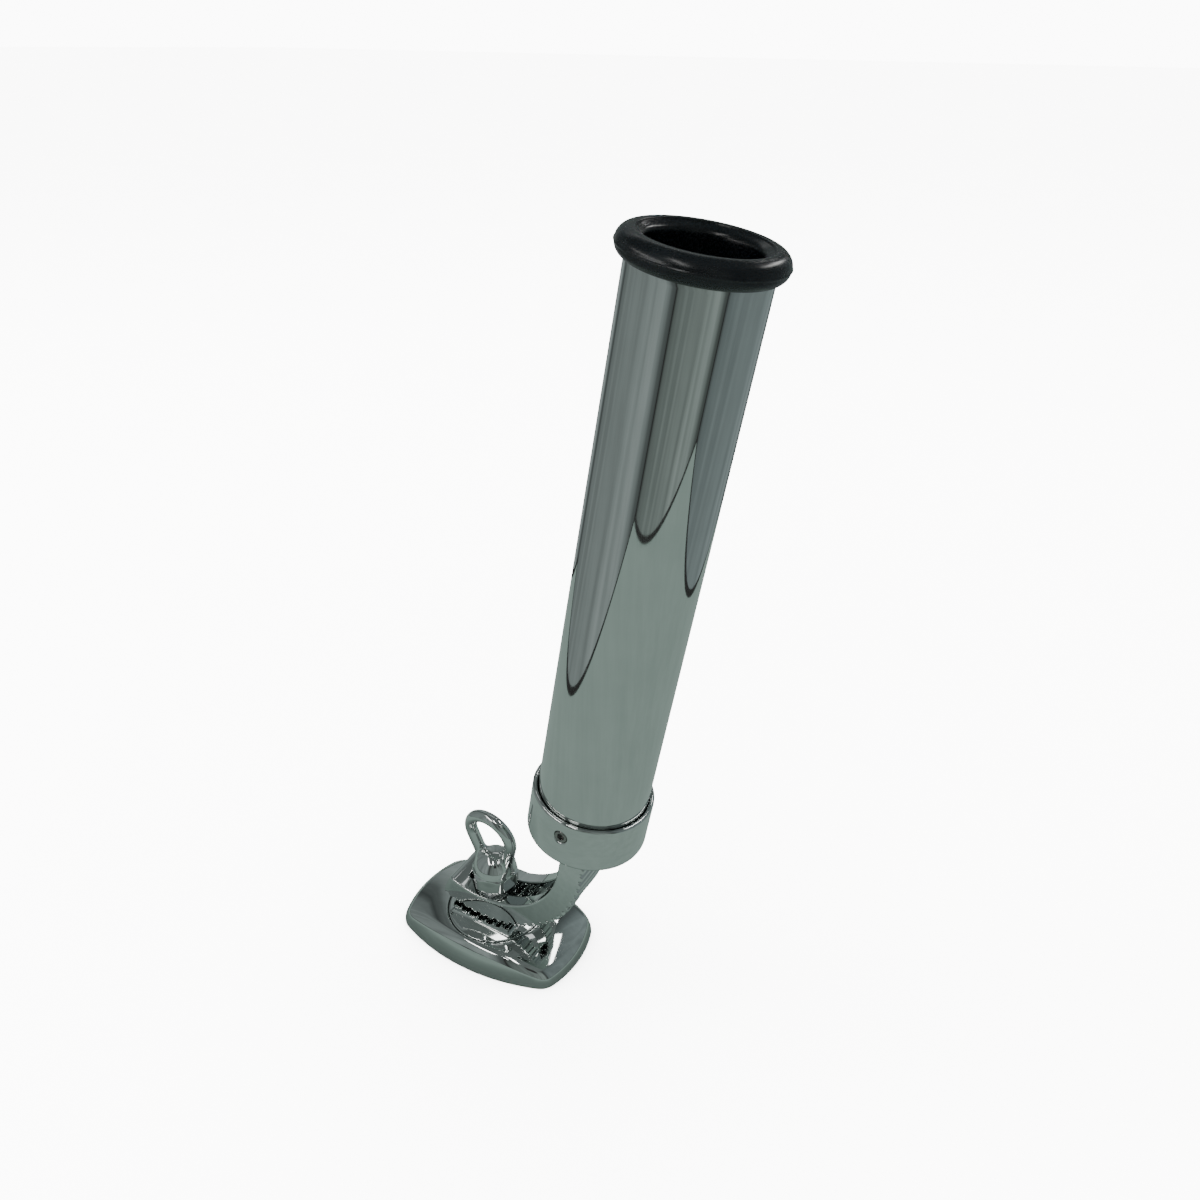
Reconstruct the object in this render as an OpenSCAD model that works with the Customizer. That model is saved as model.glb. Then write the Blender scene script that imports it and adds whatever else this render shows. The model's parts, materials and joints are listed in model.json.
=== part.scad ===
// Swivelling and tilting rod holder on a deck base.
// The origin is the centre of the base's underside, +Z points up out of the deck,
// and +X points from the swivel axis along the arm, towards the tube.

/* [Base] */
// Half of the distance between the corners along the long sides
corner_x = 44; // [40:0.5:48]
// Half of the distance between the corners along the short sides
corner_y = 23; // [21:0.5:25]
// How far each long side bulges out past its corners
long_bulge = 9; // [7:0.5:10]
// How far each short side bulges out past its corners
short_bulge = 5; // [4:0.5:6]
// Hole-to-hole distance of the deck screws along X
deck_hole_dx = 64; // [62:1:66]
// Hole-to-hole distance of the deck screws along Y
deck_hole_dy = 30; // [28:1:32]
// Diameter of the deck screw holes
deck_hole_d = 6; // [5:0.5:6.5]

/* [Swivel] */
// Diameter of the turntable
turntable_d = 49.6; // [48:0.2:50]
// Width of the gap round the turntable
seam = 0.4; // [0.3:0.1:0.6]
// Height of the turntable's rim above the deck
turntable_rim_z = 15; // [14.4:0.1:15.2]
// Nominal diameter of the clamp bolt
bolt_d = 10; // [9:0.5:10]

/* [Arm] */
// Height of the tilt axis above the deck
pivot_z = 76; // [76:0.5:78]
// Radius of the arm's toothed outside
arm_outer_r = 58; // [58:0.5:59]
// Radius of the arm's inner scoop
arm_inner_r = 45; // [44.5:0.5:45]
// Width of the arm across its flat sides
arm_w = 25.5; // [24:0.5:27]
// Angle that the tube leans out from upright at rest
lean = 9; // [5:1:12]
// Angle from one tooth to the next
tooth_step = 5; // [5:1:5]
// Height of a tooth
tooth_h = 1.3; // [1.1:0.1:1.3]
// How far the clamp parts lift to free the teeth
lift = 1.5; // [1.5:0.1:1.7]
// Lowest tilt from rest
tilt_min = -10; // [-10:5:-5]
// Highest tilt from rest
tilt_max = 60; // [50:5:60]

/* [Ring nut] */
// Width across the flats of the nut
nut_af = 22; // [20:0.5:22]
// Thickness of the ring's rod
ring_rod_d = 6.2; // [5.4:0.2:6.2]
// Lean of the ring off the bolt's axis
ring_lean = 7; // [0:1:8]
// Angle that the nut and its ring stand at about the bolt
nut_angle = -4; // [-30:1:30]

/* [Tube] */
// Outside diameter of the tube
tube_d = 50; // [50:0.1:50.2]
// Wall thickness of the tube
tube_wall = 1.5; // [1.2:0.1:1.6]
// Length of the tube
tube_l = 252; // [180:1:320]
// Diameter of the liner's bore, which holds the rod's butt
rod_bore_d = 38.5; // [37:0.5:40]
// Thickness of the rubber bead round the mouth
bead_d = 10; // [9:0.5:11]

/* [Hidden] */
$fn = 96;

// Base heights, from the deck up
head_pocket_z = 4.4;
pocket_floor_z = 8;
cavity_z = 4.5;
base_wall = 3.5;
deck_hole_depth = 9;
boss_wall = 3.5;
rib_w = 3;
corner_room = 0.2;

// Faces of the base's sides in section, from the deck up: the height of a plain land,
// then arcs as [radius, slope at the start, slope at the end]
long_face = [0.6, [26, 90, 60], [4, 60, 6], [160, 6, 0]];
short_face = [1.3, [9, 90, 26], [70, 26, 0]];
face_steps = 10;

// Clamp stack, from the deck up
bolt_head_z = 0.3;
bolt_washer_t = 0.8;
bolt_head_af = 17;
bolt_top_z = 44;
swivel_washer_t = 0.8;
turntable_z = pocket_floor_z + swivel_washer_t;
bush_wall = 2;
bush_h = 6.6;
bush_clearance = 0.05;
thread_clearance = 0.06;
crown = 1.2;
seal_groove_z = 10.9;
seal_groove_h = 2;
seal_groove_depth = 1.7;
seal_section_r = 0.9;
rack_half = 17;
rack_w = 29.5;
rack_block_h = 13;
rack_clearance = 0.1;
rack_teeth = 4;
saddle_r = 9.8;
saddle_h = 4;
saddle_gap = 0.05;
washer_top_z = 32.6;
nut_washer_t = 0.8;
nut_z = washer_top_z + nut_washer_t;
nut_h = 8;
nut_turn_on = 20;
nut_corner = 1.4;
nut_bevel = 0.8;
nut_washer_r = 10.2;
ball_r = 10.9;
bow_r = 12.2;
bow_z = 64.2;
leg_x = 7.2;
leg_z = 45.4;

// Teeth: a V-shaped groove with a flat bottom
groove_top = 3.0;
flank = 35;
groove_bottom = groove_top - 2 * tooth_h * tan(flank);
flank_clearance = 0.12;
groove_spare = 0.6;
arc_teeth_from = -25;
arc_teeth_to = 80;
straight_teeth = 5;

// Tube frame: origin on the tilt axis, Z along the tube, X away from the swivel axis
tube_x = 49.7;
collar_z = 24.6;
collar_h = 24.5;
collar_floor = 6;
collar_r = 27.5;
collar_bore_r = 25.25;
tube_z = collar_z + collar_floor;
tube_top_z = tube_z + tube_l;
tip_angle = -26;
slot_w = bolt_d + 0.6;
slot_end_gap = 0.3;
screw_d = 8;
screw_shank_l = 18;
screw_hole_depth = 16;
screw_hex_af = 6;
screw_hex_depth = 3;
screw_head_d = 13;
screw_head_h = 5;
lock_washer_t = 1.8;
pad_t = 10;
bead_z = tube_top_z + 2;
bead_ring_r = rod_bore_d / 2 + bead_d / 2 - 0.2;
liner_gap = 0.1;
lip_h = 10;
tube_fit = 0.08;
relief_h = 7;
foot_r = 1;
drain_d = 5;
set_screw_d = 6;
set_screw_z = 40.3;
set_screw_sunk = 0.3;
set_screw_hex_af = 3;
tenon_w = 20;
tenon_h = 2;
tenon_edge = 1;
tenon_l = arm_outer_r - arm_inner_r - 2.5;
tenon_fit = 0.1;
drain_offset = 16;

function circle_arc(cx, cy, r, a0, a1, n) =
    [for (i = [0 : n]) let(a = a0 + (a1 - a0) * i / n) [cx + r * cos(a), cy + r * sin(a)]];

// Radius of a side's plan arc, from its half chord and its bulge
function side_r(half, bulge) = (half * half + bulge * bulge) / (2 * bulge);

// Points of one arc of a side's face, as [distance inwards, height]
function face_arc(at, r, a0, a1) =
    [for (i = [1 : face_steps])
        let(s = a0 + (a1 - a0) * i / face_steps)
        at + r * [sin(a0) - sin(s), cos(s) - cos(a0)]];

// The arcs of a side's face from number i on, each starting where the one before ends
function face_arcs(face, i, at) =
    i == len(face) ? [] :
    let(points = face_arc(at, face[i][0], face[i][1], face[i][2]))
    concat(points, face_arcs(face, i + 1, points[face_steps - 1]));

function side_face(face) = concat([[0, 0], [0, face[0]]], face_arcs(face, 1, [0, face[0]]));

// The solid under one side's face, turned about the centre of that side's plan arc
module side_solid(r, reach, face) {
    section = side_face(face);
    top = section[len(section) - 1][1];
    outline = concat([[0, 0]], [for (p = section) [r - p[0], p[1]]], [[0, top]]);
    translate([0, reach - r, 0]) rotate_extrude($fn = 180) polygon(outline);
}

module pillow() {
    long_r = side_r(corner_x, long_bulge);
    short_r = side_r(corner_y, short_bulge);
    intersection() {
        side_solid(long_r, corner_y + long_bulge, long_face);
        mirror([0, 1, 0]) side_solid(long_r, corner_y + long_bulge, long_face);
        rotate([0, 0, 90]) side_solid(short_r, corner_x + short_bulge, short_face);
        rotate([0, 0, -90]) side_solid(short_r, corner_x + short_bulge, short_face);
        cylinder(r = corner_x + short_bulge + corner_room, h = 40);
    }
}

module deck_hole_places() {
    for (x = [-1, 1], y = [-1, 1])
        translate([x * deck_hole_dx / 2, y * deck_hole_dy / 2, 0]) children();
}

module square_prism(side, z, h) {
    translate([-side / 2, -side / 2, z]) cube([side, side, h]);
}

// Ring-shaped washer standing on z
module washer(r_out, r_in, z, h) {
    translate([0, 0, z]) difference() {
        cylinder(r = r_out, h = h);
        translate([0, 0, -1]) cylinder(r = r_in, h = h + 2);
    }
}

module base() {
    boss_r = deck_hole_d / 2 + boss_wall;
    hub_r = bolt_head_af * 0.85;
    rib_l = 120;
    color("silver") difference() {
        pillow();
        translate([0, 0, pocket_floor_z]) cylinder(d = turntable_d + 2 * seam, h = 20);
        difference() {
            translate([0, 0, -1]) pillow_plan(base_wall, cavity_z + 1);
            deck_hole_places() translate([0, 0, -2]) cylinder(r = boss_r, h = cavity_z + 3);
            translate([0, 0, -2]) cylinder(r = hub_r, h = cavity_z + 3);
            for (a = [0, 90])
                rotate([0, 0, a]) translate([-rib_l / 2, -rib_w / 2, -2])
                    cube([rib_l, rib_w, cavity_z + 3]);
        }
        deck_hole_places() translate([0, 0, -1]) cylinder(d = deck_hole_d, h = deck_hole_depth + 1);
        square_prism(bolt_head_af + 0.4, -1, head_pocket_z + 1);
        translate([0, 0, -1]) cylinder(d = bolt_d + 0.2, h = 20);
    }
}

// The base's plan moved inwards by the given distance, as a prism
module pillow_plan(inset, h) {
    long_r = side_r(corner_x, long_bulge);
    short_r = side_r(corner_y, short_bulge);
    long_y = corner_y + long_bulge - long_r;
    short_x = corner_x + short_bulge - short_r;
    intersection() {
        translate([0, long_y, 0]) cylinder(r = long_r - inset, h = h, $fn = 180);
        translate([0, -long_y, 0]) cylinder(r = long_r - inset, h = h, $fn = 180);
        translate([short_x, 0, 0]) cylinder(r = short_r - inset, h = h, $fn = 180);
        translate([-short_x, 0, 0]) cylinder(r = short_r - inset, h = h, $fn = 180);
    }
}

module clamp_bolt() {
    color("gray") {
        square_prism(bolt_head_af, bolt_head_z, head_pocket_z - bolt_washer_t - bolt_head_z);
        translate([0, 0, bolt_head_z + 1]) cylinder(d = bolt_d, h = bolt_top_z - bolt_head_z - 2);
        translate([0, 0, bolt_top_z - 1]) cylinder(d1 = bolt_d, d2 = bolt_d - 2, h = 1);
    }
}

module bolt_washer() {
    color("lightgray")
        washer(bolt_head_af / 2 - 0.2, bolt_d / 2 + 0.1, head_pocket_z - bolt_washer_t, bolt_washer_t);
}

module swivel_washer() {
    color("ivory")
        washer(turntable_d / 2 - 1, bolt_d / 2 + 0.1, pocket_floor_z, swivel_washer_t);
}

module swivel_bush() {
    bore_r = bolt_d / 2 + bush_clearance;
    color("ivory") washer(bore_r + bush_wall, bore_r, turntable_z, bush_h);
}

// A trapezoid prism along Y, for a tooth or a groove: w0 at r0 and w1 at r1
module tooth_prism(r0, w0, r1, w1, width) {
    rotate([90, 0, 0]) translate([0, 0, -width / 2]) linear_extrude(width)
        polygon([[-w0 / 2, -r0], [w0 / 2, -r0], [w1 / 2, -r1], [-w1 / 2, -r1]]);
}

// Children placed at each tooth pitch on the arc about the tilt axis
module on_arc(angles) {
    for (a = angles) rotate([0, -a, 0]) children();
}

// Turntable, drawn about the tilt axis that the arm has when it is clamped down
module rack() {
    base_r = arm_outer_r + rack_clearance;
    tip_r = arm_outer_r - tooth_h + rack_clearance;
    base_t = groove_top - 2 * flank_clearance;
    tip_t = base_t - 2 * (base_r - tip_r) * tan(flank);
    translate([0, 0, pivot_z - lift]) intersection() {
        on_arc([for (i = [-rack_teeth : rack_teeth - 1]) (i + 0.5) * tooth_step])
            tooth_prism(base_r + 1, base_t + 2 * tan(flank), tip_r, tip_t, rack_w);
        translate([-rack_half, -rack_w / 2, -arm_outer_r - 5]) cube([2 * rack_half, rack_w, 20]);
    }
}

// The block that carries the rack, with its top scooped out to fit the arm
module rack_block() {
    difference() {
        translate([-rack_half, -rack_w / 2, turntable_z + 2])
            cube([2 * rack_half, rack_w, rack_block_h]);
        translate([0, 0, pivot_z - lift])
            cross_cylinder(arm_outer_r + rack_clearance, 2 * rack_w);
    }
}

module turntable() {
    r = turntable_d / 2;
    crown_r = (r * r + crown * crown) / (2 * crown);
    color("silver") difference() {
        union() {
            intersection() {
                translate([0, 0, turntable_z]) cylinder(r = r, h = 20);
                translate([0, 0, turntable_rim_z + crown - crown_r])
                    sphere(r = crown_r, $fn = 300);
            }
            rack_block();
            rack();
        }
        translate([0, 0, turntable_z - 1])
            cylinder(r = bolt_d / 2 + bush_clearance + bush_wall, h = bush_h + 1);
        translate([0, 0, turntable_z - 1]) cylinder(d = bolt_d + 0.4, h = 20);
        washer(r + 1, r - seal_groove_depth, seal_groove_z, seal_groove_h);
    }
}

module seal_ring() {
    ring_r = turntable_d / 2 + seam - 0.1 - seal_section_r;
    color("black") translate([0, 0, seal_groove_z + seal_groove_h / 2]) rotate_extrude()
        translate([ring_r, 0]) circle(r = seal_section_r, $fn = 32);
}

module saddle_washer() {
    color("silver") difference() {
        translate([0, 0, washer_top_z - saddle_h]) cylinder(r = saddle_r, h = saddle_h);
        translate([0, 0, pivot_z]) difference() {
            cross_cylinder(arm_inner_r + 20, 60);
            cross_cylinder(arm_inner_r - saddle_gap, 62);
        }
        translate([0, 0, 20]) cylinder(r = bolt_d / 2 + thread_clearance, h = 30);
    }
}

module nut_washer() {
    color("lightgray")
        washer(nut_washer_r, bolt_d / 2 + thread_clearance, washer_top_z, nut_washer_t);
}

// The ring, in a plane that leans over from its feet: a bow at the top and two legs that lead into the ball
module ring_loop() {
    reach = norm([leg_x, bow_z - leg_z]);
    dip = atan2(bow_z - leg_z, leg_x) - acos(bow_r / reach);
    leg_l = sqrt(reach * reach - bow_r * bow_r);
    translate([0, 0, leg_z]) rotate([90 + ring_lean, 0, 0]) translate([0, bow_z - leg_z, 0]) {
        rotate([0, 0, -dip]) rotate_extrude(angle = 180 + 2 * dip)
            translate([bow_r, 0]) circle(d = ring_rod_d, $fn = 48);
        for (side = [0, 1])
            mirror([side, 0, 0]) rotate([0, 0, -dip]) translate([bow_r, 0, 0])
                rotate([90, 0, 0]) cylinder(d = ring_rod_d, h = leg_l);
    }
}

// Hexagon with its corners turned off at top and bottom; its flats stand nut_turn_on from the ring's
module nut_body() {
    flat_r = nut_af / 2;
    corner_r = flat_r + nut_corner;
    outline = [[0, 0], [flat_r, 0], [corner_r, nut_bevel], [corner_r, nut_h - nut_bevel],
        [flat_r, nut_h], [0, nut_h]];
    intersection() {
        cylinder(d = nut_af / cos(30), h = nut_h, $fn = 6);
        rotate_extrude() polygon(outline);
    }
}

module ring_nut() {
    thread_top_z = bolt_top_z + 1 + lift;
    color("silver") rotate([0, 0, nut_angle]) difference() {
        union() {
            translate([0, 0, nut_z]) rotate([0, 0, nut_turn_on]) nut_body();
            intersection() {
                translate([0, 0, nut_z + nut_h]) sphere(r = ball_r);
                translate([0, 0, nut_z + 1]) cylinder(r = 30, h = 30);
            }
            ring_loop();
        }
        translate([0, 0, nut_z - 1])
            cylinder(r = bolt_d / 2 + thread_clearance, h = thread_top_z - nut_z + 1);
    }
}

// Children drawn in the tube frame, put where they are at rest
module tube_frame() {
    translate([0, 0, pivot_z]) rotate([0, lean, 0]) children();
}

// Pie slice about the tilt axis; angles run from straight down towards the tube
module slice(from, to, width) {
    far = arm_outer_r * 1.6;
    rim = [for (i = [0 : 4])
        let(a = from + (to - from) * i / 4)
        far * [sin(a), -cos(a)]];
    rotate([90, 0, 0]) linear_extrude(width, center = true) polygon(concat([[0, 0]], rim));
}

module cross_cylinder(r, width) {
    rotate([90, 0, 0]) cylinder(r = r, h = width, center = true, $fn = 180);
}

// Slot that lets the arm slide past the clamp bolt over the whole tilt
module arm_slot() {
    end = asin(slot_w / 2 / arm_inner_r) + slot_end_gap;
    slice(tilt_min + lean - end, tilt_max + lean + end, slot_w);
}

module groove() {
    top_w = groove_top + 2 * groove_spare * tan(flank);
    tooth_prism(arm_outer_r + groove_spare, top_w, arm_outer_r - tooth_h, groove_bottom, arm_w + 2);
}

module arm() {
    wall = arm_outer_r - arm_inner_r;
    pitch = arm_outer_r * tooth_step * PI / 180;
    first_straight = (arc_teeth_to + tooth_step / 2 + lean - 90) * arm_outer_r * PI / 180;
    arc_teeth = [arc_teeth_from : tooth_step : arc_teeth_to - tooth_step];
    color("silver") tube_frame() difference() {
        union() {
            intersection() {
                difference() {
                    cross_cylinder(arm_outer_r, arm_w);
                    cross_cylinder(arm_inner_r, arm_w + 2);
                }
                slice(tip_angle + lean, 90, arm_w + 2);
            }
            translate([arm_inner_r, -arm_w / 2, 0]) cube([wall, arm_w, collar_z]);
            translate([arm_inner_r + tenon_edge, -tenon_w / 2, collar_z - 1])
                cube([tenon_l, tenon_w, tenon_h + 1]);
        }
        arm_slot();
        on_arc([for (a = arc_teeth) a + tooth_step / 2 + lean]) groove();
        for (i = [0 : straight_teeth - 1])
            translate([0, 0, first_straight + i * pitch]) on_arc([90]) groove();
        translate([tube_x, 0, collar_z - screw_hole_depth])
            cylinder(d = screw_d + 0.1, h = screw_hole_depth + tenon_h + 1);
    }
}

module collar() {
    rim = (collar_r - collar_bore_r) / 2;
    top = collar_z + collar_h;
    relief_z = top - relief_h;
    fit_r = tube_d / 2 + tube_fit;
    outline = concat([[0, collar_z], [collar_r - foot_r, collar_z]],
        circle_arc(collar_r - foot_r, collar_z + foot_r, foot_r, -75, 0, 5),
        circle_arc(collar_r - rim, top - rim, rim, 0, 180, 12),
        [[collar_bore_r, relief_z], [fit_r, relief_z - 0.5], [fit_r, tube_z], [0, tube_z]]);
    color("silver") tube_frame() translate([tube_x, 0, 0]) difference() {
        rotate_extrude($fn = 180) polygon(outline);
        for (side = [-1, 1])
            translate([0, 0, set_screw_z]) rotate([90 * side, 0, 0]) {
                cylinder(d = set_screw_d + 0.1, h = 40);
                translate([0, 0, collar_r - 0.5])
                    cylinder(d1 = set_screw_d, d2 = set_screw_d + 2, h = 1);
            }
        translate([arm_inner_r - tube_x + tenon_edge - tenon_fit, -tenon_w / 2 - tenon_fit, collar_z - 1])
            cube([tenon_l + 2 * tenon_fit, tenon_w + 2 * tenon_fit, tenon_h + tenon_fit + 1]);
        translate([0, 0, collar_z - 1]) cylinder(d = screw_d + 0.4, h = 20);
        translate([-drain_offset, 0, collar_z - 1]) cylinder(d = drain_d, h = 20);
    }
}

module collar_screw() {
    head_z = tube_z + lock_washer_t;
    hex_z = head_z + screw_head_h - screw_hex_depth;
    color("gray") tube_frame() translate([tube_x, 0, 0]) difference() {
        union() {
            translate([0, 0, head_z]) cylinder(d = screw_head_d, h = screw_head_h);
            translate([0, 0, head_z - screw_shank_l]) cylinder(d = screw_d, h = screw_shank_l + 1);
        }
        translate([0, 0, hex_z]) cylinder(d = screw_hex_af / cos(30), h = screw_hex_depth + 1, $fn = 6);
    }
}

module lock_washer() {
    split_w = 1.2;
    color("lightgray") tube_frame() translate([tube_x, 0, 0]) difference() {
        washer(screw_head_d / 2, screw_d / 2 + 0.2, tube_z, lock_washer_t);
        translate([0, -split_w / 2, tube_z - 1]) cube([20, split_w, lock_washer_t + 2]);
    }
}

module set_screws() {
    tip = tube_d / 2 + 0.02;
    length = collar_r - set_screw_sunk - tip;
    hex_floor = 0.6;
    color("dimgray") tube_frame() translate([tube_x, 0, set_screw_z])
        for (side = [-1, 1])
            rotate([90 * side, 0, 0]) translate([0, 0, tip]) difference() {
                cylinder(d = set_screw_d, h = length);
                translate([0, 0, hex_floor])
                    cylinder(d = set_screw_hex_af / cos(30), h = length, $fn = 6);
            }
}

module tube() {
    color("silver") tube_frame() translate([tube_x, 0, 0])
        washer(tube_d / 2, tube_d / 2 - tube_wall, tube_z, tube_l);
}

module tube_liner() {
    inner_r = tube_d / 2 - tube_wall - liner_gap;
    liner_z = tube_z + pad_t;
    color("black") tube_frame() translate([tube_x, 0, 0]) difference() {
        union() {
            translate([0, 0, liner_z]) cylinder(r = inner_r, h = bead_z - liner_z);
            translate([0, 0, bead_z]) rotate_extrude()
                translate([bead_ring_r, 0]) circle(d = bead_d, $fn = 64);
        }
        translate([0, 0, liner_z - 1]) cylinder(d = rod_bore_d, h = tube_l + 20);
        washer(tube_d / 2 + liner_gap, inner_r, tube_top_z - lip_h, lip_h + liner_gap);
    }
}

module butt_pad() {
    recess_d = screw_head_d + 3;
    recess_h = lock_washer_t + screw_head_h + 1;
    color("black") tube_frame() translate([tube_x, 0, tube_z]) difference() {
        cylinder(r = tube_d / 2 - tube_wall - liner_gap, h = pad_t);
        translate([0, 0, -1]) cylinder(d = recess_d, h = recess_h + 1);
        translate([-drain_offset, 0, -1]) cylinder(d = drain_d, h = pad_t + 2);
    }
}

base();
clamp_bolt();
bolt_washer();
swivel_washer();
turntable();
swivel_bush();
seal_ring();
saddle_washer();
nut_washer();
ring_nut();
arm();
collar();
collar_screw();
lock_washer();
set_screws();
tube();
tube_liner();
butt_pad();
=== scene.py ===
import json
import math

import bpy
import numpy as np
from mathutils import Matrix, Vector


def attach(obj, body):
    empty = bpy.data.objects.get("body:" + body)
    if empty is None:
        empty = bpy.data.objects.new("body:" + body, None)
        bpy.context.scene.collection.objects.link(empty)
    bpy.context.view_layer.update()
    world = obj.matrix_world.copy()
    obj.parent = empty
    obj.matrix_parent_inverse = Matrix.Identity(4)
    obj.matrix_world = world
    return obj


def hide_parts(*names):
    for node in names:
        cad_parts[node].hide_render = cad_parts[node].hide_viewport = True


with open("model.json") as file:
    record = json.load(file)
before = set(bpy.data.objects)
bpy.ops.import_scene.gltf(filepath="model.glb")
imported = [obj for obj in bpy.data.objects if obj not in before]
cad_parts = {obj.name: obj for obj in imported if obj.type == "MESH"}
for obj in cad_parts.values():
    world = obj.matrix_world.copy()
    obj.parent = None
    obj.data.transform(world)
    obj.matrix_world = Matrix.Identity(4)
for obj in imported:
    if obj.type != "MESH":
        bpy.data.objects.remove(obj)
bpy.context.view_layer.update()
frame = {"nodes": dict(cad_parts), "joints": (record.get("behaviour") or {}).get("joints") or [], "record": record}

MM = 0.001


# ---------------------------------------------------------------- sizes, from the frame
# Lengths are in millimetres. The tube frame has its origin on the tilt axis, Z along the tube
# and X away from the swivel axis.

def joint(name):
    return next(j for j in frame["joints"] if j["name"] == name)


def mount(name):
    return next(m for m in frame["record"]["mounts"] if m["name"] == name)


PIVOT = np.array(joint("tilt")["pos_m"]) / MM
TUBE_AXIS = np.array(mount("rod_bore")["axis"])
TUBE_AXIS = TUBE_AXIS / np.linalg.norm(TUBE_AXIS)
OUTWARD = np.array([TUBE_AXIS[2], 0.0, -TUBE_AXIS[0]])
LEAN = math.degrees(math.atan2(TUBE_AXIS[0], TUBE_AXIS[2]))
LIFT = -joint("clamp_lift")["range_m"][0] / MM


def to_tube(p):
    q = p - PIVOT
    return np.stack([q @ OUTWARD, q[..., 1], q @ TUBE_AXIS], -1)


def from_tube(q):
    return (PIVOT + q[..., 0:1] * OUTWARD + q[..., 1:2] * np.array([0.0, 1.0, 0.0])
            + q[..., 2:3] * TUBE_AXIS)


def node_points(node):
    mesh = frame["nodes"][node].data
    p = np.empty(len(mesh.vertices) * 3)
    mesh.vertices.foreach_get("co", p)
    return p.reshape(-1, 3) / MM


def span(node, tube=False):
    p = node_points(node)
    if tube:
        p = to_tube(p)
    return p.min(0), p.max(0)


TUBE_LO, TUBE_HI = span("tube", True)
TUBE_X = (TUBE_LO[0] + TUBE_HI[0]) / 2
TUBE_R = (TUBE_HI[1] - TUBE_LO[1]) / 2
LINER_LO, LINER_HI = span("tube_liner", True)
BEAD_OUT_R = (LINER_HI[1] - LINER_LO[1]) / 2
BORE_R = mount("rod_bore")["dims"]["r_mm"]
COLLAR_LO, COLLAR_HI = span("collar", True)
COLLAR_R = (COLLAR_HI[1] - COLLAR_LO[1]) / 2
ARM_LO, ARM_HI = span("arm", True)
ARM_HALF_W = ARM_HI[1]
BASE_LO, BASE_HI = span("base")
TABLE_LO, TABLE_HI = span("turntable")
TABLE_R = (TABLE_HI[0] - TABLE_LO[0]) / 2
NUT_LO, NUT_HI = span("ring_nut")
BOLT_TOP = span("clamp_bolt")[1][2]


# ---------------------------------------------------------------- solids from distance fields

def smax(a, b, k):
    """The larger of two distances, with the edge between them rounded over k."""
    h = np.maximum(k - np.abs(a - b), 0.0) / k
    return np.maximum(a, b) + h * h * k * 0.25


def smin(a, b, k):
    return -smax(-a, -b, k)


def gradient(field, p, h=0.02):
    g = np.empty_like(p)
    for i in range(3):
        step = np.zeros(3)
        step[i] = h
        g[:, i] = (field(p + step) - field(p - step)) / (2 * h)
    return g


SLAB = 24               # layers of the grid filled at one time
DRAWS = 4               # times the points are drawn onto the surface
LEAST_SLOPE = 0.05      # of a field, squared, so that a flat spot throws no point far off


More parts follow.
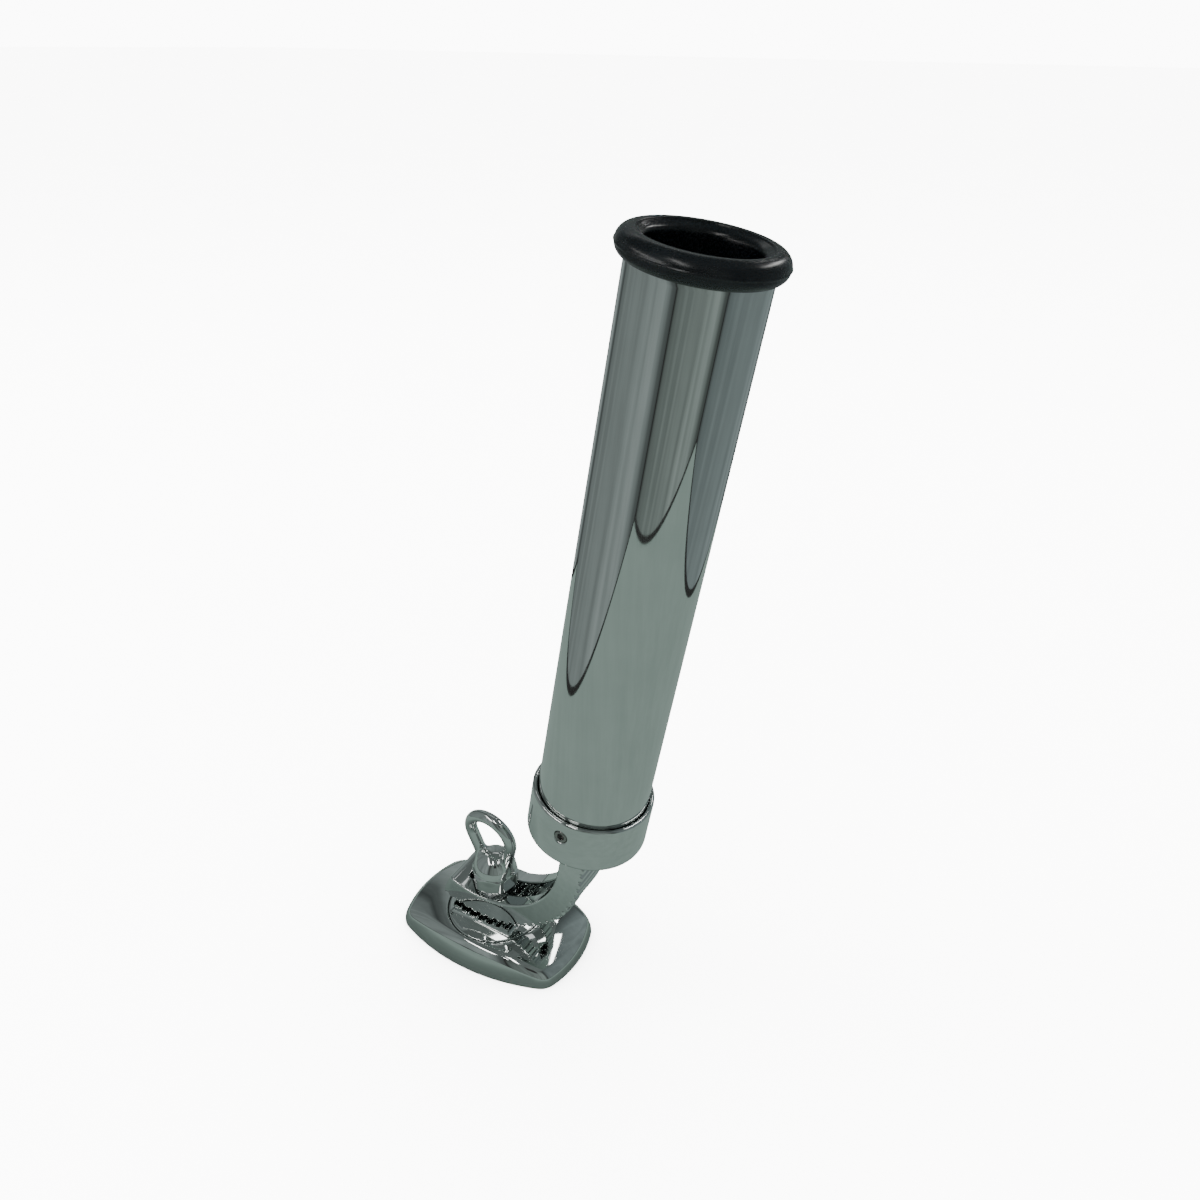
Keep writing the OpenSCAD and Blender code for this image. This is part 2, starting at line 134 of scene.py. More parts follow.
def field_mesh(name, field, lo, hi, step, place=None):
    """A mesh of the surface where field is 0, from surface nets drawn onto the surface."""
    lo = np.asarray(lo, float) - 2 * step
    count = np.ceil((np.asarray(hi, float) + 2 * step - lo) / step).astype(int) + 1
    axes = [lo[i] + step * np.arange(count[i]) for i in range(3)]
    value = np.empty(count, np.float32)
    for i in range(0, count[0], SLAB):
        grid = np.stack(np.meshgrid(axes[0][i:i + SLAB], axes[1], axes[2], indexing="ij"), -1)
        value[i:i + SLAB] = field(grid.reshape(-1, 3)).reshape(grid.shape[:3])
    inside = value < 0
    total = np.zeros(count - 1, np.int8)
    for dx in (0, 1):
        for dy in (0, 1):
            for dz in (0, 1):
                total += inside[dx:dx + count[0] - 1, dy:dy + count[1] - 1, dz:dz + count[2] - 1]
    cells = (total > 0) & (total < 8)
    index = -np.ones(count - 1, np.int64)
    where = np.argwhere(cells)
    index[tuple(where.T)] = np.arange(len(where))
    # Each cell's point starts at the mean of its edge crossings
    points = np.zeros((len(where), 3))
    weight = np.zeros(len(where))
    for axis in range(3):
        others = [a for a in range(3) if a != axis]
        for da in (0, 1):
            for db in (0, 1):
                corner = where.copy()
                corner[:, others[0]] += da
                corner[:, others[1]] += db
                far = corner.copy()
                far[:, axis] += 1
                v0 = value[tuple(corner.T)].astype(float)
                v1 = value[tuple(far.T)].astype(float)
                hit = (v0 < 0) != (v1 < 0)
                t = np.where(hit, v0 / np.where(hit, v0 - v1, 1.0), 0.0)
                p = corner.astype(float)
                p[:, axis] += t
                points += p * hit[:, None]
                weight += hit
    points = lo + step * points / weight[:, None]
    for _ in range(DRAWS):
        g = gradient(field, points)
        length = np.maximum((g * g).sum(1), LEAST_SLOPE)
        move = -(field(points) / length)[:, None] * g
        size = np.linalg.norm(move, axis=1, keepdims=True)
        points += move * np.minimum(1.0, 0.5 * step / np.maximum(size, 1e-9))
    normals = gradient(field, points)
    normals /= np.maximum(np.linalg.norm(normals, axis=1, keepdims=True), 1e-9)
    quads = []
    for axis in range(3):
        a, b = [x for x in range(3) if x != axis]
        if axis == 1:
            a, b = b, a
        s0 = np.take(inside, range(count[axis] - 1), axis)
        s1 = np.take(inside, range(1, count[axis]), axis)
        edge = np.argwhere(s0 != s1)
        ea, eb = edge[:, a], edge[:, b]
        edge = edge[(ea > 0) & (eb > 0) & (ea < count[a] - 1) & (eb < count[b] - 1)]
        leaves = s0[tuple(edge.T)]
        ring = []
        for da, db in ((-1, -1), (0, -1), (0, 0), (-1, 0)):
            c = edge.copy()
            c[:, a] += da
            c[:, b] += db
            ring.append(index[tuple(c.T)])
        quad = np.stack(ring, 1)
        quad[~leaves] = quad[~leaves][:, ::-1]
        quads.append(quad)
    quads = np.concatenate(quads)
    if place is not None:
        tips = place(points + normals)
        points = place(points)
        normals = tips - points
    mesh = bpy.data.meshes.new(name)
    mesh.vertices.add(len(points))
    mesh.vertices.foreach_set("co", (points * MM).ravel())
    mesh.loops.add(quads.size)
    mesh.loops.foreach_set("vertex_index", quads.ravel())
    mesh.polygons.add(len(quads))
    mesh.polygons.foreach_set("loop_start", np.arange(0, quads.size, 4))
    mesh.polygons.foreach_set("use_smooth", np.ones(len(quads), bool))
    mesh.update(calc_edges=True)
    mesh.validate()
    mesh.normals_split_custom_set_from_vertices(normals.tolist())
    obj = bpy.data.objects.new(name, mesh)
    bpy.context.scene.collection.objects.link(obj)
    return obj


def lathe(name, outline, turns=256, place=None):
    """A closed outline of (radius, height) points, turned about the Z axis."""
    outline = np.asarray(outline, float)
    n = len(outline)
    a = np.linspace(0, 2 * math.pi, turns, endpoint=False)
    points = np.stack([outline[None, :, 0] * np.cos(a)[:, None],
                       outline[None, :, 0] * np.sin(a)[:, None],
                       np.broadcast_to(outline[None, :, 1], (turns, n))], -1).reshape(-1, 3)
    if place is not None:
        points = place(points)
    i, j = np.meshgrid(np.arange(turns), np.arange(n), indexing="ij")
    i2, j2 = (i + 1) % turns, (j + 1) % n
    quads = np.stack([i * n + j, i2 * n + j, i2 * n + j2, i * n + j2], -1).reshape(-1, 4)
    mesh = bpy.data.meshes.new(name)
    mesh.from_pydata((points * MM).tolist(), [], quads.tolist())
    mesh.polygons.foreach_set("use_smooth", np.ones(len(quads), bool))
    mesh.update()
    obj = bpy.data.objects.new(name, mesh)
    bpy.context.scene.collection.objects.link(obj)
    return obj


def arc(cx, cz, r, a0, a1, n):
    """Points along an arc, with its angles in degrees."""
    a = np.radians(np.linspace(a0, a1, n))
    return [(cx + r * math.cos(t), cz + r * math.sin(t)) for t in a]


def tube_place(p):
    """From the tube's own axis to the row frame."""
    return from_tube(p + np.array([TUBE_X, 0.0, 0.0]))


# ---------------------------------------------------------------- base casting

CORNER_X, CORNER_Y = 44.0, 23.0      # where the four ridges reach the deck
BASE_WALL = 3.5
CAVITY_Z = 4.5
BOSS_R = 6.5                         # round each deck screw's hole
HUB_R = 14.5                         # round the bolt
RIB_HALF_W = 1.5
SCREW_HOLE_TOP = 9.0
HEAD_POCKET_HALF_W, HEAD_POCKET_TOP = 8.7, 4.4
BOLT_HOLE_R = 5.1
POCKET_R = TABLE_R + 0.4
POCKET_FLOOR = span("swivel_washer")[0][2]
RIDGE_ROUND = 3.2
LONG_BULGE = BASE_HI[1] - CORNER_Y
SHORT_BULGE = BASE_HI[0] - CORNER_X
LONG_R = (CORNER_X ** 2 + LONG_BULGE ** 2) / (2 * LONG_BULGE)
SHORT_R = (CORNER_Y ** 2 + SHORT_BULGE ** 2) / (2 * SHORT_BULGE)
# Each face in section, from the deck up: the height of a plain land, then arcs of
# (radius, first slope, last slope)
LONG_FACE = (0.6, (26.0, 90.0, 60.0), (4.0, 60.0, 6.0), (160.0, 6.0, 0.0))
SHORT_FACE = (1.3, (9.0, 90.0, 26.0), (70.0, 26.0, 0.0))


def side_distance(rho, z, radius, face):
    """Signed distance from one side's face, at rho from the centre of its round plan."""
    at = np.array([radius, face[0]])
    arcs = []
    for r, first, last in face[1:]:
        first, last = math.radians(first), math.radians(last)
        centre = at - r * np.array([math.sin(first), math.cos(first)])
        at = centre + r * np.array([math.sin(last), math.cos(last)])
        arcs.append((centre, r, last))
    distance = z - at[1]
    for centre, r, last in reversed(arcs):
        turn = np.arctan2(rho - centre[0], z - centre[1])
        on_arc = np.hypot(rho - centre[0], z - centre[1]) - r
        distance = np.where((turn > last) & (rho > centre[0]), on_arc, distance)
    return np.where(z < face[0], rho - radius, distance)


# The two long sides, then the two short ones: the plan's centre and radius, and the section
SIDES = ((0.0, BASE_HI[1] - LONG_R, LONG_R, LONG_FACE),
         (0.0, LONG_R - BASE_HI[1], LONG_R, LONG_FACE),
         (BASE_HI[0] - SHORT_R, 0.0, SHORT_R, SHORT_FACE),
         (SHORT_R - BASE_HI[0], 0.0, SHORT_R, SHORT_FACE))


def base_field(p):
    x, y, z = p[:, 0], p[:, 1], p[:, 2]
    r = np.hypot(x, y)
    sides, plans = [], []
    for cx, cy, radius, face in SIDES:
        rho = np.hypot(x - cx, y - cy)
        sides.append(side_distance(rho, z, radius, face))
        plans.append(rho - radius)
    long_side = np.maximum(sides[0], sides[1])
    short_side = np.maximum(sides[2], sides[3])
    solid = smax(long_side, short_side, RIDGE_ROUND)
    solid = smax(solid, -z, 0.7)
    pocket = np.maximum(r - POCKET_R, POCKET_FLOOR - z)
    solid = smax(solid, -pocket, 0.5)
    holes = mount("deck_bolts")["dims"]
    hx, hy = holes["spacing_x_mm"] / 2, holes["spacing_y_mm"] / 2
    to_hole = np.hypot(np.abs(x) - hx, np.abs(y) - hy)
    bosses = np.minimum(to_hole - BOSS_R, r - HUB_R)
    ribs = np.minimum(np.abs(x), np.abs(y)) - RIB_HALF_W
    plan = np.maximum.reduce(plans) + BASE_WALL
    cavity = np.maximum.reduce([plan, z - CAVITY_Z, -np.minimum(bosses, ribs)])
    solid = smax(solid, -cavity, 0.5)
    screw_hole = np.maximum(to_hole - holes["hole_r_mm"], z - SCREW_HOLE_TOP)
    head = np.maximum.reduce([np.abs(x) - HEAD_POCKET_HALF_W, np.abs(y) - HEAD_POCKET_HALF_W,
                              z - HEAD_POCKET_TOP])
    return smax(solid, -np.minimum(np.minimum(screw_hole, head), r - BOLT_HOLE_R), 0.3)


# ---------------------------------------------------------------- turntable and arm teeth

ARM_R = 58.0          # over the arm's teeth
SCOOP_R = 45.0
TOOTH_H = 1.3
TOOTH_STEP = 5.0      # degrees
GROOVE_TOP = 3.0      # a groove's width at the arm's outside
FLANK = math.tan(math.radians(35.0))
STEEP = 0.82          # keeps a toothed face's field from growing faster than distance
RACK_GAP = 0.15       # between the clamped arm and the rack
FLANK_GAP = 0.15
RACK_HALF = 17.0
RACK_HALF_W = 14.75
TABLE_RIM_Z = 15.0
TABLE_CROWN = 1.2
SEAL_GROOVE_DEPTH, SEAL_GROOVE_LO, SEAL_GROOVE_HI = 1.7, 10.9, 12.9
BUSH_HOLE_R, BUSH_HOLE_H = 7.05, 6.6
TABLE_BOLT_HOLE_R = 5.2


def tooth_wave(angle):
    """Distance along the arc from the nearest groove centre, for an angle from straight down."""
    u = angle / TOOTH_STEP - 0.5
    return np.abs(u - np.round(u)) * TOOTH_STEP * math.pi / 180 * ARM_R


def turntable_field(p):
    """A crowned disc with a block on it, whose top is cut by the rack."""
    x, y, z = p[:, 0], p[:, 1], p[:, 2]
    r = np.hypot(x, y)
    crown_r = (TABLE_R ** 2 + TABLE_CROWN ** 2) / (2 * TABLE_CROWN)
    top = np.sqrt(r * r + (z - (TABLE_RIM_Z + TABLE_CROWN - crown_r)) ** 2) - crown_r
    disc = smax(r - TABLE_R, top, 0.7)
    axis_z = PIVOT[2] - LIFT
    rr = np.hypot(x, z - axis_z)
    angle = np.degrees(np.arctan2(x, axis_z - z))
    along = tooth_wave(angle)
    half_base = GROOVE_TOP / 2 - FLANK_GAP
    height = np.clip((half_base - along) / FLANK, 0.0, TOOTH_H)
    rack = (ARM_R + RACK_GAP - height - rr) * STEEP
    block = smax(np.abs(x) - RACK_HALF, np.abs(y) - RACK_HALF_W, 0.8)
    solid = smax(smin(disc, block, 1.4), rack, 0.35)
    solid = np.maximum(solid, TABLE_LO[2] - z)
    seal = np.maximum.reduce([TABLE_R - SEAL_GROOVE_DEPTH - r, SEAL_GROOVE_LO - z, z - SEAL_GROOVE_HI])
    bush = np.maximum(r - BUSH_HOLE_R, z - (TABLE_LO[2] + BUSH_HOLE_H))
    return smax(solid, -np.minimum(np.minimum(seal, bush), r - TABLE_BOLT_HOLE_R), 0.3)


# ---------------------------------------------------------------- arm

SLOT_HALF_W = 5.3
SLOT_END_GAP = 0.3            # degrees
TILT_LO, TILT_HI = joint("tilt")["range_deg"]
TIP_ANGLE = -26.0             # the free end, from straight down
FIRST_TOOTH_ANGLE = -25.0
TIP_ROUND = 3.6
TENON_Z = COLLAR_LO[2] + 2.0
TENON_HALF_W, TENON_IN, TENON_OUT = 10.0, 46.0, 56.5
COLLAR_SCREW_R, COLLAR_SCREW_DEPTH = 4.05, 16.0
FAR_IN, FAR_OUT = -20.0, 10.0      # stand-in distances where a cut has no say


def arm_field(q):
    """A round J that runs straight on from the height of its centre, in the tube frame."""
    x, y, z = q[:, 0], q[:, 1], q[:, 2]
    straight = z > 0
    rr = np.where(straight, x, np.hypot(x, z))
    turn = np.degrees(np.arctan2(x, -z))
    angle = np.where(straight, 90.0 + np.degrees(z / ARM_R), turn)
    along = tooth_wave(angle - LEAN)
    depth = np.clip((GROOVE_TOP / 2 - along) / FLANK, 0.0, TOOTH_H)
    depth = np.where(angle - LEAN < FIRST_TOOTH_ANGLE, 0.0, depth)
    outer = (rr - (ARM_R - depth)) * STEEP
    tip_dir = math.radians(TIP_ANGLE + LEAN)
    tip = -(x * math.cos(tip_dir) + z * math.sin(tip_dir))
    tip = np.where((x < 10.0) & ~straight, tip, FAR_IN)
    top = z - COLLAR_LO[2]
    body = smax(smax(SCOOP_R - rr, outer, 0.6), np.abs(y) - ARM_HALF_W, 0.9)
    body = smax(smax(body, tip, TIP_ROUND), top, 0.3)
    end = math.degrees(math.asin(SLOT_HALF_W / SCOOP_R)) + SLOT_END_GAP
    past_lo = (TILT_LO + LEAN - end - turn) * math.pi / 180 * rr
    past_hi = (turn - (TILT_HI + LEAN + end)) * math.pi / 180 * rr
    slot = smax(np.abs(y) - SLOT_HALF_W, np.maximum(past_lo, past_hi), 3.0)
    slot = np.where(straight, FAR_OUT, slot)
    body = smax(body, -slot, 0.7)
    tenon = np.maximum.reduce([np.abs(y) - TENON_HALF_W, TENON_IN - x, x - TENON_OUT,
                               z - TENON_Z, COLLAR_LO[2] - 1 - z])
    body = np.minimum(body, tenon)
    screw = np.maximum(np.hypot(x - TUBE_X, y) - COLLAR_SCREW_R, COLLAR_LO[2] - COLLAR_SCREW_DEPTH - z)
    return np.maximum(body, -screw)


# ---------------------------------------------------------------- collar

COLLAR_BORE_R = 25.25
COLLAR_FOOT_ROUND = 2.2
SET_SCREW_R = 3.0
SCREWS_LO, SCREWS_HI = span("set_screws", True)
SET_SCREW_Z = (SCREWS_LO[2] + SCREWS_HI[2]) / 2
TUBE_FIT_R = TUBE_R + 0.08
RELIEF = 7.0                  # depth of the wider mouth
DRAIN_X, DRAIN_R = -16.0, 2.5
FLOOR_HOLE_R = 4.2


def collar_field(p):
    """About the tube's own axis, heights as in the tube frame."""
    x, y, z = p[:, 0], p[:, 1], p[:, 2]
    r = np.hypot(x, y)
    top = COLLAR_HI[2]
    rim = (COLLAR_R - COLLAR_BORE_R) / 2
    wall = np.maximum(r - COLLAR_R, COLLAR_BORE_R - r)
    round_rim = np.hypot(r - COLLAR_R + rim, z - top + rim) - rim
    wall = np.where(z > top - rim, round_rim, wall)
    foot = smax(r - COLLAR_R, COLLAR_LO[2] - z, COLLAR_FOOT_ROUND)
    lower = np.maximum.reduce([foot, -np.maximum(r - TUBE_FIT_R, TUBE_LO[2] - z), z - (top - RELIEF)])
    upper = np.maximum(wall, (top - RELIEF - 0.5) - z)
    solid = np.minimum(lower, upper)
    hole = np.hypot(x, z - SET_SCREW_Z) - SET_SCREW_R - 0.05
    hole = np.where(r > TUBE_R - 2, hole, 5.0)
    solid = smax(solid, -hole, 1.1)
    drain = np.hypot(x - DRAIN_X, y) - DRAIN_R
    bolt = r - FLOOR_HOLE_R
    tenon = np.maximum.reduce([np.abs(y) - TENON_HALF_W - 0.1, TENON_IN - 0.1 - TUBE_X - x,
                               x + TUBE_X - TENON_OUT - 0.2, z - TENON_Z - 0.1])
    below = z - TUBE_LO[2] - 1
    return np.maximum(solid, -np.minimum(np.maximum(np.minimum(drain, bolt), below), tenon))


# ---------------------------------------------------------------- ring nut

NUT_AF = 22.0
RING_AXIS = mount("lanyard_ring")["axis"]
NUT_ANGLE = math.degrees(math.atan2(-RING_AXIS[0], RING_AXIS[1]))
RING_LEAN = math.asin(RING_AXIS[2])
HEX_TURN = 20.0
HEX_ROUND = 2.2
NUT_TOP = NUT_LO[2] + 8.0
CORNER_CUT, CORNER_SLOPE, CORNER_HALF_H = 1.4, 1.75, 3.2    # the hexagon's turned corners
BALL_R = 10.9
LEG_X, LEG_Z = 7.2, 45.4             # where the ring's legs end, inside the ball
RING_Z = mount("lanyard_ring")["pos_m"][2] / MM
BOW_R, BOW_Z = 12.2, LEG_Z + (RING_Z - LEG_Z) / math.cos(RING_LEAN)
ROD_R = 3.1
THREAD_HOLE_R = 5.06


def ring_nut_field(p):
    """About the bolt's axis, with the ring in the XZ plane but for its lean."""
    x, y, z = p[:, 0], p[:, 1], p[:, 2]
    r = np.hypot(x, y)
    flats = [np.abs(x * math.cos(a) + y * math.sin(a)) - NUT_AF / 2
             for a in np.radians([30 + HEX_TURN, 90 + HEX_TURN, 150 + HEX_TURN])]
    hexagon = smax(smax(flats[0], flats[1], HEX_ROUND), flats[2], HEX_ROUND)
    middle = (NUT_LO[2] + NUT_TOP) / 2
    corner = (r - NUT_AF / 2 - CORNER_CUT + CORNER_SLOPE * (np.abs(z - middle) - CORNER_HALF_H)) * 0.5
    nut = smax(smax(hexagon, corner, 0.4), np.abs(z - middle) - (NUT_TOP - NUT_LO[2]) / 2, 0.5)
    ball = np.maximum(np.sqrt(r * r + (z - NUT_TOP) ** 2) - BALL_R, NUT_LO[2] + 1 - z)
    solid = smin(nut, ball, 0.9)
    # The ring: a round bow on two legs that lead to it along its tangents
    ax = np.abs(x)
    foot = z - LEG_Z
    z = LEG_Z + foot * math.cos(RING_LEAN) - y * math.sin(RING_LEAN)
    y = y * math.cos(RING_LEAN) + foot * math.sin(RING_LEAN)
    reach = math.hypot(LEG_X, BOW_Z - LEG_Z)
    dip = math.atan2(BOW_Z - LEG_Z, LEG_X) - math.acos(BOW_R / reach)
    join = np.array([BOW_R * math.cos(dip), BOW_Z - BOW_R * math.sin(dip)])
    leg = np.array([LEG_X, LEG_Z]) - join
    length = np.linalg.norm(leg)
    u = np.clip(((ax - join[0]) * leg[0] + (z - join[1]) * leg[1]) / length ** 2, 0.0, 1.0)
    to_leg = np.sqrt((ax - join[0] - u * leg[0]) ** 2 + (z - join[1] - u * leg[1]) ** 2 + y * y)
    bow = np.hypot(np.hypot(ax, z - BOW_Z) - BOW_R, y)
    above = np.arctan2(z - BOW_Z, ax) > -dip
    loop = np.where(above, bow, to_leg) - ROD_R
    solid = smin(solid, loop, 2.4)
    thread = np.maximum(r - THREAD_HOLE_R, p[:, 2] - (BOLT_TOP + 1 + LIFT))
    return smax(solid, -thread, 0.5)


# ---------------------------------------------------------------- set screws

SCREW_SUNK = 0.3
SOCKET_HALF_AF, SOCKET_FLOOR = 1.5, 0.6
DISH_R, DISH_DEPTH = 1.1, 0.7


def set_screw_field(p):
    """Lying along -Y, with a hexagon socket and a countersink in its outer end."""
    x, y, z = p[:, 0], -p[:, 1], p[:, 2]
    inner = TUBE_R + 0.02
    outer = COLLAR_R - SCREW_SUNK
    r = np.hypot(x, z)
    solid = smax(smax(r - SET_SCREW_R, y - outer, 0.7), inner - y, 0.4)
    flats = [np.abs(x * math.cos(a) + z * math.sin(a)) - SOCKET_HALF_AF for a in np.radians([0, 60, 120])]
    socket = np.maximum.reduce(flats + [inner + SOCKET_FLOOR - y])
    dish = r - DISH_R - (y - outer + DISH_DEPTH)
    return smax(solid, -np.minimum(socket, np.maximum(dish, outer - DISH_DEPTH - 0.1 - y)), 0.15)


# ---------------------------------------------------------------- materials

def new_material(name):
    m = bpy.data.materials.new(name)
    m.use_nodes = True
    nodes = m.node_tree.nodes
    nodes.clear()
    out = nodes.new("ShaderNodeOutputMaterial")
    shader = nodes.new("ShaderNodeBsdfPrincipled")
    m.node_tree.links.new(shader.outputs[0], out.inputs[0])
    return m, shader


def mapped(m, scale, turn=(0.0, 0.0, 0.0)):
    """Object coordinates in millimetres, stretched by scale."""
    nodes, links = m.node_tree.nodes, m.node_tree.links
    coord = nodes.new("ShaderNodeTexCoord")
    mapping = nodes.new("ShaderNodeMapping")
    mapping.vector_type = "POINT"
    mapping.inputs["Rotation"].default_value = turn
    mapping.inputs["Scale"].default_value = [s / MM for s in scale]
    links.new(coord.outputs["Object"], mapping.inputs["Vector"])
    return mapping.outputs["Vector"]


def noise(m, vector, scale, detail=3.0, rough=0.5, distort=0.0):
    node = m.node_tree.nodes.new("ShaderNodeTexNoise")
    node.inputs["Scale"].default_value = scale
    node.inputs["Detail"].default_value = detail
    node.inputs["Roughness"].default_value = rough
    node.inputs["Distortion"].default_value = distort
    m.node_tree.links.new(vector, node.inputs["Vector"])
    return node.outputs["Fac"]


def remap(m, value, lo, hi, to_lo, to_hi):
    """From lo-hi to to_lo-to_hi, held at the ends."""
    node = m.node_tree.nodes.new("ShaderNodeMapRange")
    node.inputs["From Min"].default_value = lo
    node.inputs["From Max"].default_value = hi
    node.inputs["To Min"].default_value = to_lo
    node.inputs["To Max"].default_value = to_hi
    m.node_tree.links.new(value, node.inputs["Value"])
    return node.outputs["Result"]


def math_node(m, kind, a, b):
    node = m.node_tree.nodes.new("ShaderNodeMath")
    node.operation = kind
    for slot, value in zip(node.inputs, (a, b)):
        if isinstance(value, (int, float)):
            slot.default_value = value
        else:
            m.node_tree.links.new(value, slot)
    return node.outputs[0]


def blend_colours(m, fac, a, b):
    node = m.node_tree.nodes.new("ShaderNodeMix")
    node.data_type = "RGBA"
    node.inputs["A"].default_value = (*a, 1.0)
    node.inputs["B"].default_value = (*b, 1.0)
    m.node_tree.links.new(fac, node.inputs["Factor"])
    return node.outputs["Result"]


def bump(m, height, depth_mm, after=None):
    node = m.node_tree.nodes.new("ShaderNodeBump")
    node.inputs["Strength"].default_value = 1.0
    node.inputs["Distance"].default_value = depth_mm * MM
    m.node_tree.links.new(height, node.inputs["Height"])
    if after is not None:
        m.node_tree.links.new(after, node.inputs["Normal"])
    return node.outputs["Normal"]


STEEL_TINT = (0.68, 0.70, 0.69)
STEEL_DARK = (0.60, 0.62, 0.61)
STREAK_SCALE = 0.12       # against the buffing lines
LINE_DEPTH_MM = 0.00035


def polished_steel(name, rough, wave_mm, wave_size, line_scale, line_turn=(0.0, 0.0, 0.0)):
    """Mirror-polished stainless steel: slow waves from hand polishing, fine buffing lines with
    broad streaks beside them, and a faint haze."""
    m, shader = new_material(name)
    links = m.node_tree.links
    shader.inputs["Metallic"].default_value = 1.0
    plain = mapped(m, (1.0, 1.0, 1.0))
    haze = noise(m, plain, 0.05, 4.0, 0.6)
    lines = noise(m, mapped(m, line_scale, line_turn), 1.0, 5.0, 0.65)
    streaks = noise(m, mapped(m, [s * STREAK_SCALE for s in line_scale], line_turn), 1.0, 3.0, 0.6)
    clean = math_node(m, "ADD", remap(m, haze, 0.35, 0.65, 0.0, 0.4),
                      remap(m, streaks, 0.35, 0.65, 0.0, 0.6))
    links.new(blend_colours(m, clean, STEEL_DARK, STEEL_TINT), shader.inputs["Base Color"])
    smear = noise(m, plain, 0.16, 5.0, 0.62, 0.6)
    worn = math_node(m, "ADD", remap(m, lines, 0.45, 0.8, 0.0, 0.6), remap(m, smear, 0.5, 0.75, 0.0, 0.7))
    links.new(remap(m, worn, 0.0, 1.2, rough, rough * 2.6), shader.inputs["Roughness"])
    waves = bump(m, noise(m, plain, 1.0 / wave_size, 1.0, 0.4), wave_mm)
    links.new(bump(m, lines, LINE_DEPTH_MM, waves), shader.inputs["Normal"])
    return m


def turned_steel(name, tint, rough):
    """Plain stainless fasteners: satin, with fine machining marks and small stains."""
    m, shader = new_material(name)
    links = m.node_tree.links
    shader.inputs["Metallic"].default_value = 1.0
    plain = mapped(m, (1.0, 1.0, 1.0))
    marks = noise(m, mapped(m, (0.4, 0.4, 14.0)), 1.0, 4.0, 0.6)
    stain = noise(m, plain, 0.35, 5.0, 0.6)
    links.new(blend_colours(m, remap(m, stain, 0.4, 0.7, 0.0, 1.0), tint, tuple(c * 0.7 for c in tint)),
              shader.inputs["Base Color"])
    links.new(remap(m, marks, 0.3, 0.7, rough * 0.75, rough * 1.4), shader.inputs["Roughness"])
    links.new(bump(m, marks, 0.004), shader.inputs["Normal"])
    return m


RUBBER_DARK = (0.0001, 0.0004, 0.0007)
RUBBER_DUSTY = (0.0007, 0.0012, 0.0016)


def black_rubber(name, rough, grain_mm):
    """Moulded black rubber: a soft sheen, a fine grain and a little dust."""
    m, shader = new_material(name)
    links = m.node_tree.links
    plain = mapped(m, (1.0, 1.0, 1.0))
    bloom = noise(m, plain, 0.07, 3.0, 0.5, 0.4)
    dust = noise(m, plain, 2.6, 2.0, 0.5)
    tone = math_node(m, "ADD", remap(m, bloom, 0.4, 0.7, 0.0, 0.5),
                     remap(m, dust, 0.66, 0.8, 0.0, 0.35))
    links.new(blend_colours(m, tone, RUBBER_DARK, RUBBER_DUSTY), shader.inputs["Base Color"])
    links.new(remap(m, bloom, 0.3, 0.7, rough * 0.95, rough * 1.15), shader.inputs["Roughness"])
    shader.inputs["Specular IOR Level"].default_value = 0.38
    grain = noise(m, plain, 3.2, 3.0, 0.6)
    dents = bump(m, noise(m, plain, 0.09, 2.0, 0.5), 0.03)
    links.new(bump(m, grain, grain_mm, dents), shader.inputs["Normal"])
    return m


def natural_nylon(name):
    """Off-white nylon that lets a little light in, with faint turning marks."""
    m, shader = new_material(name)
    links = m.node_tree.links
    plain = mapped(m, (1.0, 1.0, 1.0))
    cloud = noise(m, plain, 0.2, 4.0, 0.6)
    links.new(blend_colours(m, cloud, (0.70, 0.67, 0.56), (0.80, 0.78, 0.70)), shader.inputs["Base Color"])
    links.new(remap(m, cloud, 0.3, 0.7, 0.38, 0.55), shader.inputs["Roughness"])
    shader.inputs["Subsurface Weight"].default_value = 0.15
    shader.inputs["Subsurface Radius"].default_value = (0.002, 0.002, 0.0015)
    marks = noise(m, mapped(m, (0.5, 0.5, 9.0)), 1.0, 3.0)
    links.new(bump(m, marks, 0.01), shader.inputs["Normal"])
    return m


TUBE_TURN = (0.0, -math.radians(LEAN), 0.0)
cast_steel = polished_steel("polished_casting", 0.035, 0.012, 9.0, (0.5, 3.0, 3.0))
arm_steel = polished_steel("polished_arm", 0.04, 0.006, 12.0, (3.0, 0.5, 3.0))
tube_steel = polished_steel("polished_tube", 0.03, 0.010, 30.0, (2.2, 2.2, 0.07), TUBE_TURN)
ring_steel = polished_steel("polished_ring", 0.035, 0.004, 6.0, (1.5, 1.5, 1.5))
plain_steel = turned_steel("plain_steel", (0.50, 0.51, 0.52), 0.3)
screw_steel = turned_steel("set_screw_steel", (0.33, 0.32, 0.31), 0.25)
mouth_rubber = black_rubber("mouth_rubber", 0.25, 0.001)
pad_rubber = black_rubber("pad_rubber", 0.55, 0.02)
seal_rubber = black_rubber("seal_rubber", 0.5, 0.01)
nylon = natural_nylon("natural_nylon")


# ---------------------------------------------------------------- pieces

def finish_piece(obj, body, node, material):
    """Gives a piece its material and the body it rides on, and hides the CAD node it stands for."""
    obj.data.materials.append(material)
    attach(obj, body)
    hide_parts(node)


def off_tube_axis(point):
    """From the tube frame to the tube's own axis."""
    return point - np.array([TUBE_X, 0.0, 0.0])


FINE = 0.45        # the surface nets' step

base = field_mesh("base_casting", base_field, BASE_LO, BASE_HI, FINE)
finish_piece(base, "base", "base", cast_steel)

turntable = field_mesh("toothed_turntable", turntable_field, TABLE_LO,
                       TABLE_HI + np.array([0.0, 0.0, 1.0]), FINE * 0.8)
finish_piece(turntable, "turntable", "turntable", cast_steel)

arm = field_mesh("tilting_arm", arm_field, ARM_LO, ARM_HI, FINE, from_tube)
finish_piece(arm, "arm", "arm", arm_steel)

